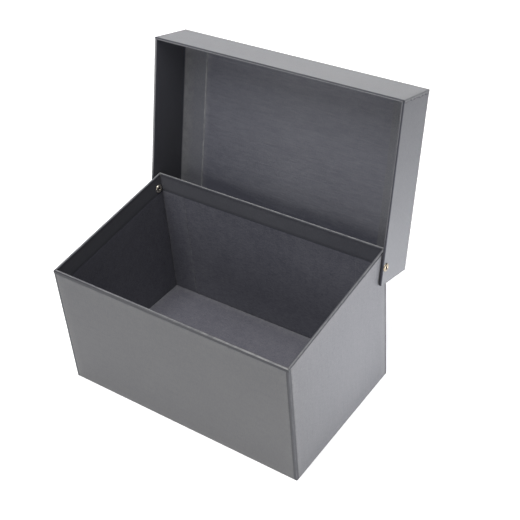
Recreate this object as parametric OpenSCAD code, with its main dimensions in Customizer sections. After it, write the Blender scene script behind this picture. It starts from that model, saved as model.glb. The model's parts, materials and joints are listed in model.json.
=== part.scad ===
// Archival box of stiff board covered in paper, with a tray lid on two rivets.
// Millimetres. Origin: middle of the base's underside. X right, Y to the rear, Z up.
// The lid stands open, leaning back, with its rear skirt against the base's rear wall.

/* [Base] */
// Outside width of the base
body_w = 260; // [200:5:400]
// Outside depth of the base, front to rear
body_d = 157; // [131:2:241]
// Height of the front wall at its rim
front_h = 130.5; // [100:0.5:180]
// Height of the rear wall at its rim
rear_h = 149.5; // [146:0.5:190]
// Thickness of the wall boards and the bottom board
board_t = 2.2; // [1.5:0.1:3]
// Thickness of the outer sheets
cover_t = 0.6; // [0.4:0.1:1]
// Thickness of the folded strips on rims and corners
binding_t = 0.3; // [0.2:0.05:0.4]
// Thickness of the inside linings
lining_t = 0.6; // [0.4:0.1:1]
// Width of the rim strip that shows outside on the front and rear
rim_margin = 3.2; // [2:0.2:6]
// Width of the rim strip that shows outside on the sloping sides
side_rim_margin = 1.2; // [0.8:0.2:4]
// Depth of the rim strip inside
rim_turn_in = 19; // [15:1:30]
// Width of the corner strip that shows on each face
corner_margin = 2.6; // [1.6:0.2:6]
// Thickness of the loose floor board
floor_board_t = 5.5; // [1.5:0.5:6]
// Thickness of the sheet on the floor board
floor_paper_t = 0.4; // [0.2:0.1:0.8]

/* [Lid] */
// Gap between the lid's skirts and the base's side walls
side_gap = 0.6; // [0.4:0.1:1.5]
// Gap left between the lid's front skirt and the front wall when closed
front_gap = 0.8; // [0.2:0.1:2]
// Depth of the lid's front and side skirts, outside
skirt_h = 46; // [38:0.5:60]
// Thickness of the lid's boards
lid_board_t = 1.8; // [1.5:0.1:3]
// Thickness of the lid's covering sheets
wrap_t = 0.4; // [0.2:0.1:0.6]
// How far the side sheets run on to the inside of the panel
wrap_tab = 28; // [20:1:36]
// How far the front and rear sheets run on to the inside of the panel
wrap_turn = 1.5; // [1:0.5:4]
// Thickness of the panel's lining sheet
lid_lining_t = 0.3; // [0.2:0.1:1]
// How far the open lid leans back past upright, in degrees
lean = 13.5; // [5:0.5:20]

/* [Hinge] */
// Distance of the rivets in front of the rear face
rivet_from_rear = 7.6; // [7.2:0.2:10]
// Distance of the rivets below the rear rim
rivet_from_rim = 15; // [12:0.5:16]
// Distance of the rivets above the rim of the lid's skirts
rivet_from_skirt = 4.6; // [4.6:0.1:8]
// Distance from the rivets to the lid's hinge end
hinge_tail = 17.5; // [12:0.5:22]
// Radius of the rivet's barrel
barrel_r = 2.2; // [1.8:0.1:2.4]
// Radius of the hole through the rivet
rivet_hole_r = 1.3; // [0.8:0.1:1.5]
// Radius of the rivet's outside head
head_r = 4; // [3.4:0.1:4.2]
// Height of the rivet's outside head
head_h = 1.2; // [0.8:0.1:1.6]
// Radius of the rolled end inside
roll_r = 4.3; // [3.2:0.1:4.4]
// Height of the rolled end inside
roll_h = 1; // [0.7:0.1:1.2]
// Clearance between the barrel and the holes in the lid
barrel_clearance = 0.05; // [0.02:0.01:0.1]

/* [Hidden] */

$fn = 48;
arc_steps = 6;
pad_gap = 0.4;

// Planes of the base's wall boards
board_x = body_w / 2 - cover_t;
board_y = body_d / 2 - cover_t;
board_in_x = board_x - board_t;
board_in_y = board_y - board_t;
band_in_x = board_in_x - binding_t;
band_in_y = board_in_y - binding_t;
lining_in_x = board_in_x - lining_t;
lining_in_y = board_in_y - lining_t;
wall_z = cover_t + board_t;
slope = (rear_h - front_h) / body_d;
slope_angle = atan(slope);
strip_x = board_x + binding_t;
strip_y = board_y + binding_t;

// Rivet axis
pivot_y = body_d / 2 - rivet_from_rear;
pivot_z = rear_h - rivet_from_rim;

// Lid, drawn level with the rivet axis at the origin
lid_wall = lid_board_t + 2 * wrap_t;
lid_x = body_w / 2 + side_gap + lid_wall;
lid_in_x = lid_x - lid_wall;
lid_top_z = skirt_h - rivet_from_skirt;
rim_z = -rivet_from_skirt;
panel_z = lid_top_z - wrap_t - lid_board_t;
front_run = pivot_y + body_d / 2 + front_gap + rivet_from_skirt * sin(slope_angle);
front_reach = front_run / cos(slope_angle);
lid_front_y = -front_reach - lid_wall;
lid_rear_y = hinge_tail;
// Lower edge of the rear skirt, set by where it meets the base's rear wall
stop_gap = 0.05;
rear_rim_z = (rivet_from_rear + stop_gap + hinge_tail * sin(lean)) / cos(lean);
open_angle = 90 + lean;

base_color = [0.36, 0.37, 0.39];
binding_color = [0.28, 0.29, 0.31];
lining_color = [0.24, 0.25, 0.27];
board_color = [0.45, 0.43, 0.4];
brass_color = [0.8, 0.66, 0.38];

// Height of the sloping rim above the table at a distance y from the middle
function rim_at(y) = front_h + slope * (y + body_d / 2);

// Box between two opposite corners
module block(low, high) {
  translate(low) cube(high - low);
}

// Plate between two x planes, from a level bottom up to the sloping rim less top_drop
module sloped_plate(x0, x1, y0, y1, bottom_z, top_drop) {
  translate([x0, 0, 0])
    rotate([90, 0, 90])
      linear_extrude(x1 - x0)
        polygon([
          [y0, bottom_z], [y1, bottom_z],
          [y1, rim_at(y1) - top_drop], [y0, rim_at(y0) - top_drop]
        ]);
}

// Band between two x planes under the sloping rim, from depth below it up to top_drop
module sloped_band(x0, x1, y0, y1, depth, top_drop) {
  translate([x0, 0, 0])
    rotate([90, 0, 90])
      linear_extrude(x1 - x0)
        polygon([
          [y0, rim_at(y0) - depth], [y1, rim_at(y1) - depth],
          [y1, rim_at(y1) - top_drop], [y0, rim_at(y0) - top_drop]
        ]);
}

// Children are drawn for the right side and mirrored for the left
module on_side(side) {
  if (side > 0) children();
  else mirror([1, 0, 0]) children();
}

module rivet_bore(radius) {
  translate([0, pivot_y, pivot_z])
    rotate([0, 90, 0])
      cylinder(r = radius, h = body_w);
}

module side_board(side) {
  on_side(side)
    color(board_color)
      difference() {
        sloped_plate(board_in_x, board_x, -board_y, board_y, wall_z, binding_t);
        rivet_bore(barrel_r);
      }
}

module side_cover(side) {
  on_side(side)
    color(base_color)
      difference() {
        sloped_plate(board_x, body_w / 2, -board_y + corner_margin, board_y - corner_margin,
          0, side_rim_margin);
        rivet_bore(barrel_r);
      }
}

module side_lining(side) {
  on_side(side)
    color(lining_color)
      sloped_plate(lining_in_x, board_in_x, -lining_in_y, lining_in_y, wall_z, rim_turn_in);
}

// Strip folded over the sloping rim: outer leg, top and inner leg
module side_binding(side) {
  on_side(side)
    color(binding_color)
      difference() {
        union() {
          sloped_band(board_x, strip_x, -strip_y, strip_y, side_rim_margin, 0);
          sloped_band(board_in_x, board_x, -board_y, board_y, binding_t, 0);
          sloped_band(band_in_x, board_in_x, -board_in_y, board_in_y, rim_turn_in, 0);
        }
        rivet_bore(barrel_r);
      }
}

// Strip folded over a level rim of height h, drawn for the rear
module level_binding(h, side) {
  color(binding_color)
    scale([1, side, 1]) {
      block([-board_x, board_y, h - rim_margin], [board_x, strip_y, h]);
      block([-board_in_x, board_in_y, h - binding_t], [board_in_x, board_y, h]);
      block([-band_in_x, band_in_y, h - rim_turn_in], [band_in_x, board_in_y, h]);
    }
}

// Strip folded round an upright corner, drawn for the front right
module corner_strip(side_x, side_y, h) {
  y0 = side_y < 0 ? -strip_y : board_y - corner_margin;
  y1 = side_y < 0 ? -board_y + corner_margin : strip_y;
  on_side(side_x)
    color(binding_color) {
      sloped_plate(board_x, strip_x, y0, y1, 0, side_rim_margin);
      scale([1, side_y, 1])
        block([board_x - corner_margin, board_y, 0], [board_x, strip_y, h - rim_margin]);
    }
}

// Lining of a level wall with its rim at height h, drawn for the rear
module level_lining(h, side) {
  color(lining_color)
    scale([1, side, 1])
      block([-band_in_x, lining_in_y, wall_z], [band_in_x, board_in_y, h - rim_turn_in]);
}

module base_bottom_board() {
  color(board_color)
    block([-board_x, -board_y, cover_t], [board_x, board_y, wall_z]);
}

module base_front_board() {
  color(board_color)
    block([-board_in_x, -board_y, wall_z], [board_in_x, -board_in_y, front_h - binding_t]);
}

module base_rear_board() {
  color(board_color)
    block([-board_in_x, board_in_y, wall_z], [board_in_x, board_y, rear_h - binding_t]);
}

module base_left_board() {
  side_board(-1);
}

module base_right_board() {
  side_board(1);
}

module base_bottom_cover() {
  color(base_color)
    block([-board_x, -board_y, 0], [board_x, board_y, cover_t]);
}

module base_front_cover() {
  color(base_color)
    block([-board_x + corner_margin, -body_d / 2, 0],
      [board_x - corner_margin, -board_y, front_h - rim_margin]);
}

module base_rear_cover() {
  color(base_color)
    block([-board_x + corner_margin, board_y, 0],
      [board_x - corner_margin, body_d / 2, rear_h - rim_margin]);
}

module base_left_cover() {
  side_cover(-1);
}

module base_right_cover() {
  side_cover(1);
}

module base_front_binding() {
  level_binding(front_h, -1);
}

module base_rear_binding() {
  level_binding(rear_h, 1);
}

module base_left_binding() {
  side_binding(-1);
}

module base_right_binding() {
  side_binding(1);
}

module front_left_corner_strip() {
  corner_strip(-1, -1, front_h);
}

module front_right_corner_strip() {
  corner_strip(1, -1, front_h);
}

module rear_left_corner_strip() {
  corner_strip(-1, 1, rear_h);
}

module rear_right_corner_strip() {
  corner_strip(1, 1, rear_h);
}

module base_front_lining() {
  level_lining(front_h, -1);
}

module base_rear_lining() {
  level_lining(rear_h, 1);
}

module base_left_lining() {
  side_lining(-1);
}

module base_right_lining() {
  side_lining(1);
}

module floor_pad_board() {
  color(board_color)
    block([-lining_in_x + pad_gap, -lining_in_y + pad_gap, wall_z],
      [lining_in_x - pad_gap, lining_in_y - pad_gap, wall_z + floor_board_t]);
}

module floor_pad_paper() {
  floor_z = wall_z + floor_board_t;
  color(lining_color)
    block([-lining_in_x + pad_gap, -lining_in_y + pad_gap, floor_z],
      [lining_in_x - pad_gap, lining_in_y - pad_gap, floor_z + floor_paper_t]);
}

// Takes a lid part drawn level, with the rivet axis at the origin, to the open pose
module on_hinge() {
  translate([0, pivot_y, pivot_z])
    rotate([-open_angle, 0, 0])
      children();
}

module lid_bore() {
  rotate([0, 90, 0])
    cylinder(r = barrel_r + barrel_clearance, h = body_w);
}

module lid_side_board(side) {
  on_hinge()
    on_side(side)
      color(board_color)
        difference() {
          block([lid_x - lid_wall + wrap_t, lid_front_y + wrap_t, rim_z + wrap_t],
            [lid_x - wrap_t, lid_rear_y - wrap_t, panel_z]);
          lid_bore();
        }
}

// One sheet: outside, hinge end, rim, inside and a tab on the panel
module lid_side_wrap(side) {
  in_y0 = lid_front_y + lid_wall;
  in_y1 = lid_rear_y - lid_wall;
  y0 = lid_front_y + wrap_t;
  y1 = lid_rear_y - wrap_t;
  on_hinge()
    on_side(side)
      color(base_color)
        difference() {
          union() {
            block([lid_x - wrap_t, y0, rim_z], [lid_x, lid_rear_y, lid_top_z - wrap_t]);
            block([lid_in_x, y1, rim_z], [lid_x, lid_rear_y, lid_top_z - wrap_t]);
            block([lid_in_x, y0, rim_z], [lid_x, y1, rim_z + wrap_t]);
            block([lid_in_x, y0, rim_z], [lid_in_x + wrap_t, y1, panel_z]);
            block([lid_in_x - wrap_tab, in_y0, panel_z - wrap_t], [lid_in_x, in_y1, panel_z]);
          }
          lid_bore();
        }
}

// Cross wall of the lid between the side skirts, drawn from its outer face at y inwards
module lid_cross_board(y, inward, bottom_z) {
  on_hinge()
    color(board_color)
      translate([0, y, 0])
        scale([1, inward, 1])
          block([-lid_in_x, wrap_t, bottom_z + wrap_t],
            [lid_in_x, wrap_t + lid_board_t, panel_z]);
}

// One sheet: outside, rim, inside and a tab on the panel
module lid_cross_wrap(y, inward, bottom_z, outer_x) {
  tab_x = lid_in_x - wrap_tab;
  on_hinge()
    color(base_color)
      translate([0, y, 0])
        scale([1, inward, 1]) {
          block([-outer_x, 0, bottom_z], [outer_x, wrap_t, lid_top_z - wrap_t]);
          block([-lid_in_x, 0, bottom_z], [lid_in_x, lid_wall, bottom_z + wrap_t]);
          block([-lid_in_x, lid_wall - wrap_t, bottom_z], [lid_in_x, lid_wall, panel_z]);
          block([-tab_x, lid_wall - wrap_t, panel_z - wrap_t],
            [tab_x, lid_wall + wrap_turn, panel_z]);
        }
}

module lid_top_board() {
  on_hinge()
    color(board_color)
      block([-lid_x + wrap_t, lid_front_y + wrap_t, panel_z],
        [lid_x - wrap_t, lid_rear_y - wrap_t, lid_top_z - wrap_t]);
}

module lid_front_board() {
  lid_cross_board(lid_front_y, 1, rim_z);
}

module lid_rear_board() {
  lid_cross_board(lid_rear_y, -1, rear_rim_z);
}

module lid_left_board() {
  lid_side_board(-1);
}

module lid_right_board() {
  lid_side_board(1);
}

module lid_top_cover() {
  on_hinge()
    color(base_color)
      block([-lid_x, lid_front_y, lid_top_z - wrap_t], [lid_x, lid_rear_y, lid_top_z]);
}

module lid_front_wrap() {
  lid_cross_wrap(lid_front_y, 1, rim_z, lid_x);
}

module lid_rear_wrap() {
  lid_cross_wrap(lid_rear_y, -1, rear_rim_z, lid_in_x);
}

module lid_left_wrap() {
  lid_side_wrap(-1);
}

module lid_right_wrap() {
  lid_side_wrap(1);
}

module lid_top_lining() {
  inset = lid_wall + wrap_turn;
  on_hinge()
    color(lining_color)
      block([-lid_in_x + wrap_tab, lid_front_y + inset, panel_z - lid_lining_t],
        [lid_in_x - wrap_tab, lid_rear_y - inset, panel_z]);
}

// Rounded ring profile from the barrel out to radius r, height h
function ring_edge(r, h) = [
  for (i = [0:arc_steps])
    [r - h + h * cos(90 * i / arc_steps), h * sin(90 * i / arc_steps)]
];

// Hollow rivet along Z: rolled end at the bottom, barrel of length grip, head on top
module hollow_rivet(grip) {
  roll = ring_edge(roll_r, roll_h);
  rotate_extrude()
    polygon(concat(
      [[rivet_hole_r, -roll_h * 0.5], [rivet_hole_r + roll_h * 0.5, -roll_h]],
      [for (i = [arc_steps:-1:0]) [roll[i][0], -roll[i][1]]],
      [[barrel_r, 0], [barrel_r, grip]],
      [for (p = ring_edge(head_r, head_h)) [p[0], grip + p[1]]],
      [[rivet_hole_r + head_h * 0.5, grip + head_h], [rivet_hole_r, grip + head_h * 0.5]]
    ));
}

module side_rivet(side) {
  on_side(side)
    color(brass_color)
      translate([band_in_x, pivot_y, pivot_z])
        rotate([0, 90, 0])
          hollow_rivet(lid_x + barrel_clearance - band_in_x);
}

module left_rivet() {
  side_rivet(-1);
}

module right_rivet() {
  side_rivet(1);
}

base_bottom_board();
base_front_board();
base_rear_board();
base_left_board();
base_right_board();
base_bottom_cover();
base_front_cover();
base_rear_cover();
base_left_cover();
base_right_cover();
base_front_binding();
base_rear_binding();
base_left_binding();
base_right_binding();
front_left_corner_strip();
front_right_corner_strip();
rear_left_corner_strip();
rear_right_corner_strip();
base_front_lining();
base_rear_lining();
base_left_lining();
base_right_lining();
floor_pad_board();
floor_pad_paper();
lid_top_board();
lid_front_board();
lid_rear_board();
lid_left_board();
lid_right_board();
lid_top_cover();
lid_front_wrap();
lid_rear_wrap();
lid_left_wrap();
lid_right_wrap();
lid_top_lining();
left_rivet();
right_rivet();
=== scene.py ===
import json
import math

import bmesh
import bpy
from mathutils import Matrix, Vector, noise


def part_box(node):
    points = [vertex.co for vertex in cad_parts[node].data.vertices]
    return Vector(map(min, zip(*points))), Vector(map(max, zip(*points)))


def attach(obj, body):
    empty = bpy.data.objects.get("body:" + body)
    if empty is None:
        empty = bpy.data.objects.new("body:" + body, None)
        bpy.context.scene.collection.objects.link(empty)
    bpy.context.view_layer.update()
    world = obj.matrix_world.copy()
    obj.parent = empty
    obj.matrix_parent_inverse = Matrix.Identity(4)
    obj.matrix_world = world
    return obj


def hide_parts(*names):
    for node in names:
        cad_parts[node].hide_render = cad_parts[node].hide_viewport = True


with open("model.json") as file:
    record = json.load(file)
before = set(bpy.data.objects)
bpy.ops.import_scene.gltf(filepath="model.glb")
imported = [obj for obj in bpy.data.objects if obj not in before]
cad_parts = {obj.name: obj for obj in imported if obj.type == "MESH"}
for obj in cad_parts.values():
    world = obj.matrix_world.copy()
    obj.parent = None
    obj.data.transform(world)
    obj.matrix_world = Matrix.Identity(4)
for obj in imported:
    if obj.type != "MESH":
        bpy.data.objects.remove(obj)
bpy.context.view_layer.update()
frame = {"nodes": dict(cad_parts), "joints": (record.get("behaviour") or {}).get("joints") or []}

MM = 0.001
nodes = frame["nodes"]


# ---------------------------------------------------------------- measures read from the frame

def half_width(node):
    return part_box(node)[1].x


pivot = Vector(frame["joints"][0]["pos_m"])
base_out_x = half_width("base_right_cover")
base_out_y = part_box("base_rear_cover")[1].y
board_x = half_width("base_right_board")
board_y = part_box("base_rear_board")[1].y
strip_x = half_width("base_right_binding")
strip_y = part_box("base_rear_binding")[1].y
band_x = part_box("base_right_binding")[0].x
front_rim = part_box("base_front_binding")[1].z
rear_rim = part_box("base_rear_binding")[1].z
cover_top_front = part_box("base_front_cover")[1].z
cover_top_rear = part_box("base_rear_cover")[1].z
cover_edge_x = half_width("base_front_cover")
cover_edge_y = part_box("base_right_cover")[1].y
binding_t = strip_x - board_x
rim_w = strip_x - band_x
rim_slope = (rear_rim - front_rim) / (2 * base_out_y)
side_cover_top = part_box("base_right_cover")[1].z
side_margin = rim_slope * cover_edge_y + (front_rim + rear_rim) / 2 - side_cover_top


def rim_at(y):
    """Height of the sloping side rim at y."""
    return (front_rim + rear_rim) / 2 + rim_slope * y


def lid_turn():
    """Angle of the open lid about X, from the long direction of its flat outer sheet."""
    co = [v.co for v in nodes["lid_top_cover"].data.vertices]
    my = sum(c.y for c in co) / len(co)
    mz = sum(c.z for c in co) / len(co)
    yy = sum((c.y - my) ** 2 for c in co)
    zz = sum((c.z - mz) ** 2 for c in co)
    yz = sum((c.y - my) * (c.z - mz) for c in co)
    angle = 0.5 * math.atan2(2 * yz, yy - zz)
    return angle if math.sin(angle) < 0 else angle - math.pi


lid_matrix = Matrix.Translation(pivot) @ Matrix.Rotation(lid_turn(), 4, "X")
lid_inverse = lid_matrix.inverted()


def lid_box(node):
    """Corners of a lid node with the lid turned level and the rivet axis at the origin."""
    co = [lid_inverse @ v.co for v in nodes[node].data.vertices]
    low = Vector([min(c[i] for c in co) for i in range(3)])
    high = Vector([max(c[i] for c in co) for i in range(3)])
    return low, high


lid_low, lid_high = lid_box("lid_top_cover")
lid_x = lid_high.x
lid_front = lid_low.y
lid_rear = lid_high.y
lid_top = lid_high.z
wrap_t = lid_high.z - lid_low.z
side_low, side_high = lid_box("lid_right_board")
lid_in_x = side_low.x - wrap_t
lid_rim = side_low.z - wrap_t
panel_z = side_high.z
lid_wall = lid_x - lid_in_x
rear_skirt_rim = lid_box("lid_rear_wrap")[0].z
panel_low, panel_high = lid_box("lid_top_lining")
side_tab = lid_in_x - panel_high.x
cross_tab = panel_low.y - lid_front - lid_wall
panel_lining_t = panel_z - panel_low.z


# ---------------------------------------------------------------- materials

def graph(name):
    mat = bpy.data.materials.new(name)
    mat.use_nodes = True
    tree = mat.node_tree
    tree.nodes.clear()
    out = tree.nodes.new("ShaderNodeOutputMaterial")
    shader = tree.nodes.new("ShaderNodeBsdfPrincipled")
    tree.links.new(shader.outputs[0], out.inputs[0])
    return mat, tree, shader


def put(tree, kind, values=None, links=None, **settings):
    node = tree.nodes.new(kind)
    for key, value in settings.items():
        setattr(node, key, value)
    for key, value in (values or {}).items():
        node.inputs[key].default_value = value
    for key, socket in (links or {}).items():
        tree.links.new(socket, node.inputs[key])
    return node


def grain(tree, coords, scale, detail=2.0, rough=0.5, distortion=0.0, stretch=None, turn=(0, 0, 0)):
    """Noise from 0 to 1 on object coordinates, drawn out where stretch is given."""
    source = coords
    if stretch:
        source = put(tree, "ShaderNodeMapping", {"Scale": stretch, "Rotation": turn},
                     {"Vector": coords}).outputs[0]
    return put(tree, "ShaderNodeTexNoise",
               {"Scale": scale, "Detail": detail, "Roughness": rough, "Distortion": distortion},
               {"Vector": source}).outputs[0]


def total(tree, start, parts):
    """start plus each socket times its weight."""
    value = None
    for socket, weight in parts:
        node = put(tree, "ShaderNodeMath", {1: weight}, {0: socket}, operation="MULTIPLY_ADD")
        if value is None:
            node.inputs[2].default_value = start
        else:
            tree.links.new(value, node.inputs[2])
        value = node.outputs[0]
    return value


def blend_color(tree, factor, low, high):
    """Colour from low to high; each is a colour or a socket."""
    node = put(tree, "ShaderNodeMix", data_type="RGBA", clamp_factor=True)
    tree.links.new(factor, node.inputs[0])
    for index, color in ((6, low), (7, high)):
        if isinstance(color, bpy.types.NodeSocket):
            tree.links.new(color, node.inputs[index])
        else:
            node.inputs[index].default_value = (*color, 1)
    return node.outputs[2]


def shade(color, factor):
    return tuple(c * factor for c in color)


def tint(color, factors):
    return tuple(c * f for c, f in zip(color, factors))


def painted(tree, name):
    return put(tree, "ShaderNodeAttribute", attribute_name=name).outputs["Fac"]


# DARK_PAPER, the darker end of each paper's tone, has a blue tint that is painted cool shade.
DARK_PAPER = (0.59, 0.6, 0.695)
LIGHT_PAPER = 1.38
# CREASE_AND_SHADE_PAPER darkens creases and painted shade at steps, gaps and folds; its blue tint is
# painted cool shade.
CREASE_AND_SHADE_PAPER = (0.16, 0.165, 0.225)


def paper(name, color, rough, mottle=0.5, fibre=0.5, streak=0.0, streak_axis=0, sheen=0.12,
          wear_and_highlight=0.35, crease_and_shade=0.55, relief=0.25, specular=0.45, wear_and_highlight_level=2.1, seed=0.0):
    """Covering paper: clouds, fibres and fine specks; edges and folds are painted lighter, partly
    wear and partly painted highlight, and creases darker, partly crease and partly painted shade.
    """
    mat, tree, shader = graph(name)
    base = put(tree, "ShaderNodeTexCoord").outputs["Object"]
    coords = put(tree, "ShaderNodeMapping", {"Location": (seed, seed * 0.7, -seed)},
                 {"Vector": base}).outputs[0]
    cloud = grain(tree, coords, 14, 3, 0.5)
    patch = grain(tree, coords, 120, 5, 0.6)
    speck = grain(tree, coords, 2400, 2, 0.6)
    along = [2600.0, 2600.0, 2600.0]
    along[streak_axis] = 420.0
    thread = grain(tree, coords, 1, 3, 0.65, 0.4, stretch=along)
    across = [1500.0, 1500.0, 300.0] if streak_axis != 2 else [300.0, 300.0, 1500.0]
    weft = grain(tree, coords, 1, 3, 0.6, 0.3, stretch=across)
    wide = [420.0, 420.0, 420.0]
    wide[streak_axis] = 56.0
    wavy = grain(tree, coords, 1, 4, 0.55, 0.9, stretch=wide)
    k = [0.45 * mottle, 0.5 * mottle, 0.5 * fibre, 0.8 * fibre, 0.8 * fibre, streak]
    tone = total(tree, 0.5 - sum(k) / 2,
                 [(cloud, k[0]), (patch, k[1]), (speck, k[2]), (thread, k[3]), (weft, k[4]),
                  (wavy, k[5]), (painted(tree, "tone"), 1.0)])
    body = blend_color(tree, tone, tint(color, DARK_PAPER), shade(color, LIGHT_PAPER))
    # Painted lighter where wear_and_highlight is set: real wear, and painted highlights on lit edges
    # and rim tops.
    rubbed_and_lit = put(tree, "ShaderNodeMath", {2: 0.0}, {0: painted(tree, "wear_and_highlight")},
                 operation="MULTIPLY_ADD")
    wear_and_highlight_noise = put(tree, "ShaderNodeMapRange",
                       {"From Min": 0.35, "From Max": 0.62, "To Min": 0.25 * wear_and_highlight, "To Max": wear_and_highlight},
                       {"Value": patch}).outputs[0]
    tree.links.new(wear_and_highlight_noise, rubbed_and_lit.inputs[1])
    wear_and_highlight_grey = wear_and_highlight_level * sum(color) / 3
    worn_and_lit = blend_color(tree, rubbed_and_lit.outputs[0], body, (wear_and_highlight_grey,) * 3)
    # Painted darker where crease_and_shade is set: creases, and painted shade at steps, gaps and
    # folds.
    dark = put(tree, "ShaderNodeMath", {1: crease_and_shade}, {0: painted(tree, "crease_and_shade")},
               operation="MULTIPLY").outputs[0]
    final = blend_color(tree, dark, worn_and_lit, tint(color, CREASE_AND_SHADE_PAPER))
    tree.links.new(final, shader.inputs["Base Color"])
    gloss = put(tree, "ShaderNodeMapRange",
                {"From Min": 0.3, "From Max": 0.7, "To Min": rough - 0.06, "To Max": rough + 0.07},
                {"Value": total(tree, 0.0, [(patch, 0.5), (thread, 0.5)])}).outputs[0]
    tree.links.new(gloss, shader.inputs["Roughness"])
    shader.inputs["Specular IOR Level"].default_value = specular
    shader.inputs["Sheen Weight"].default_value = sheen
    shader.inputs["Sheen Roughness"].default_value = 0.5
    fine = total(tree, 0.0, [(thread, 0.5), (weft, 0.5), (speck, 0.4)])
    bump = put(tree, "ShaderNodeBump", {"Strength": relief, "Distance": 0.00008}, {"Height": fine})
    swell = total(tree, 0.0, [(patch, 0.5), (wavy, 0.5 + streak)])
    broad = put(tree, "ShaderNodeBump", {"Strength": 0.2 + streak * 0.5, "Distance": 0.0004},
                {"Height": swell, "Normal": bump.outputs[0]})
    tree.links.new(broad.outputs[0], shader.inputs["Normal"])
    return mat


def board(name, color):
    """Grey board: coarse pulp with darker fibres, seen only in slits and at cut edges."""
    mat, tree, shader = graph(name)
    coords = put(tree, "ShaderNodeTexCoord").outputs["Object"]
    pulp = grain(tree, coords, 900, 5, 0.7)
    fibre = grain(tree, coords, 1, 4, 0.6, 0.8, stretch=(500, 2200, 4200))
    cloud = grain(tree, coords, 60, 3, 0.5)
    tone = total(tree, -0.35, [(pulp, 0.7), (fibre, 0.6), (cloud, 0.4)])
    tree.links.new(blend_color(tree, tone, shade(color, 0.6), shade(color, 1.35)),
                   shader.inputs["Base Color"])
    rough = put(tree, "ShaderNodeMapRange", {"To Min": 0.8, "To Max": 0.98}, {"Value": pulp})
    tree.links.new(rough.outputs[0], shader.inputs["Roughness"])
    bump = put(tree, "ShaderNodeBump", {"Strength": 0.5, "Distance": 0.00015}, {"Height": fibre})
    tree.links.new(bump.outputs[0], shader.inputs["Normal"])
    return mat


DULL_BRASS = (0.27, 0.22, 0.15)
BRIGHT_BRASS = (0.97, 0.90, 0.76)
# HOLLOW_BRASS, near black, is the hollow's colour: partly tarnish, partly painted shade.
HOLLOW_BRASS = (0.06, 0.035, 0.012)


def brass(name):
    """Pressed brass: fine turning marks; the tone attribute paints a bright rolled edge as a painted
    highlight and a darker head as painted shade, and the hollow is painted dark, partly tarnish and
    partly painted shade.
    """
    mat, tree, shader = graph(name)
    coords = put(tree, "ShaderNodeTexCoord").outputs["Object"]
    spots = grain(tree, coords, 900, 4, 0.6)
    marks = grain(tree, coords, 1, 3, 0.6, stretch=(9000, 1500, 1500))
    tone = total(tree, -0.1, [(spots, 0.9), (marks, 0.3), (painted(tree, "tone"), 1.0)])
    bright = blend_color(tree, tone, DULL_BRASS, BRIGHT_BRASS)
    dark = put(tree, "ShaderNodeMath", {1: 0.92}, {0: painted(tree, "crease_and_shade")},
               operation="MULTIPLY").outputs[0]
    tree.links.new(blend_color(tree, dark, bright, HOLLOW_BRASS),
                   shader.inputs["Base Color"])
    shader.inputs["Metallic"].default_value = 1.0
    rough = put(tree, "ShaderNodeMapRange", {"To Min": 0.14, "To Max": 0.4}, {"Value": spots})
    tree.links.new(rough.outputs[0], shader.inputs["Roughness"])
    bump = put(tree, "ShaderNodeBump", {"Strength": 0.25, "Distance": 0.00005}, {"Height": marks})
    tree.links.new(bump.outputs[0], shader.inputs["Normal"])
    return mat


# Colours of the papers and of the board

COVER = (0.138, 0.137, 0.139)
# FRONT_SHADED is a darker copy of COVER for the front sheet: painted shade, as the front gets less
# light.
FRONT_SHADED = (0.091, 0.0905, 0.0905)
LID = (0.148, 0.149, 0.152)
# The blue tint of BINDING, LINING, FLOOR and PANEL is painted cool shade.
BINDING = (0.079, 0.080, 0.090)
LINING = (0.104, 0.104, 0.122)
FLOOR = (0.112, 0.110, 0.124)
PANEL = (0.119, 0.120, 0.135)
BOARD = (0.11, 0.108, 0.105)

cover_paper = paper("cover_paper", COVER, 0.52, mottle=0.5, fibre=1.2, streak=0.3,
                    streak_axis=2, sheen=0.15, seed=0.0)
front_shaded_paper = paper("front_shaded_cover_paper", FRONT_SHADED, 0.52, mottle=0.5, fibre=0.8, streak=0.2,
                    sheen=0.15, seed=1.4)
lid_paper = paper("lid_cover_paper", LID, 0.54, mottle=0.5, fibre=0.8, sheen=0.12,
                  specular=0.38, crease_and_shade=1.0, seed=3.1)
binding_paper = paper("binding_paper", BINDING, 0.5, mottle=0.5, fibre=0.8, wear_and_highlight=0.95,
                      crease_and_shade=0.95, wear_and_highlight_level=3.2, seed=5.7)
lining_paper = paper("lining_paper", LINING, 0.62, mottle=1.15, fibre=1.8, streak=0.3,
                     streak_axis=2, sheen=0.1, relief=0.3, specular=0.3, crease_and_shade=0.95, seed=8.3)
floor_paper = paper("floor_lining_paper", FLOOR, 0.6, mottle=0.9, fibre=1.9, streak=0.3,
                    streak_axis=0, sheen=0.1, relief=0.3, specular=0.3, seed=9.9)
panel_paper = paper("panel_lining_paper", PANEL, 0.58, mottle=0.7, fibre=0.6, streak=0.6,
                    streak_axis=0, sheen=0.12, relief=0.35, specular=0.35, seed=12.4)
grey_board = board("grey_board", BOARD)
bright_brass = brass("brass")


# ---------------------------------------------------------------- mesh parts
# A part is (vertices, faces, wear_and_highlight, crease_and_shade, tone), the last three one number
# per vertex.
# wear_and_highlight paints wear and painted highlights lighter, crease_and_shade paints creases and
# painted shade darker; tone also carries painted light and shade.

def rolled(x):
    """Height of a rolled edge, 0 to 1, at x roll widths from it."""
    return math.sqrt(max(0.0, 1 - (1 - x) ** 2)) if x < 1 else 1.0


def stations(length, roll, cell):
    """Distances along a side, close together where its ends roll off."""
    near = [roll * e for e in (0.0, 0.1, 0.3, 0.6, 1.0)]
    count = max(2, round((length - 2 * roll) / cell))
    middle = [roll + (length - 2 * roll) * i / count for i in range(1, count)]
    return near + middle + [length - n for n in reversed(near)]


def border(nu, nv):
    """Indices of the outer points of a grid of nu by nv points, in order round it."""
    loop = list(range(nu)) + [j * nu + nu - 1 for j in range(1, nv)]
    loop += [(nv - 1) * nu + i for i in range(nu - 2, -1, -1)]
    return loop + [j * nu for j in range(nv - 2, 0, -1)]


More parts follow.
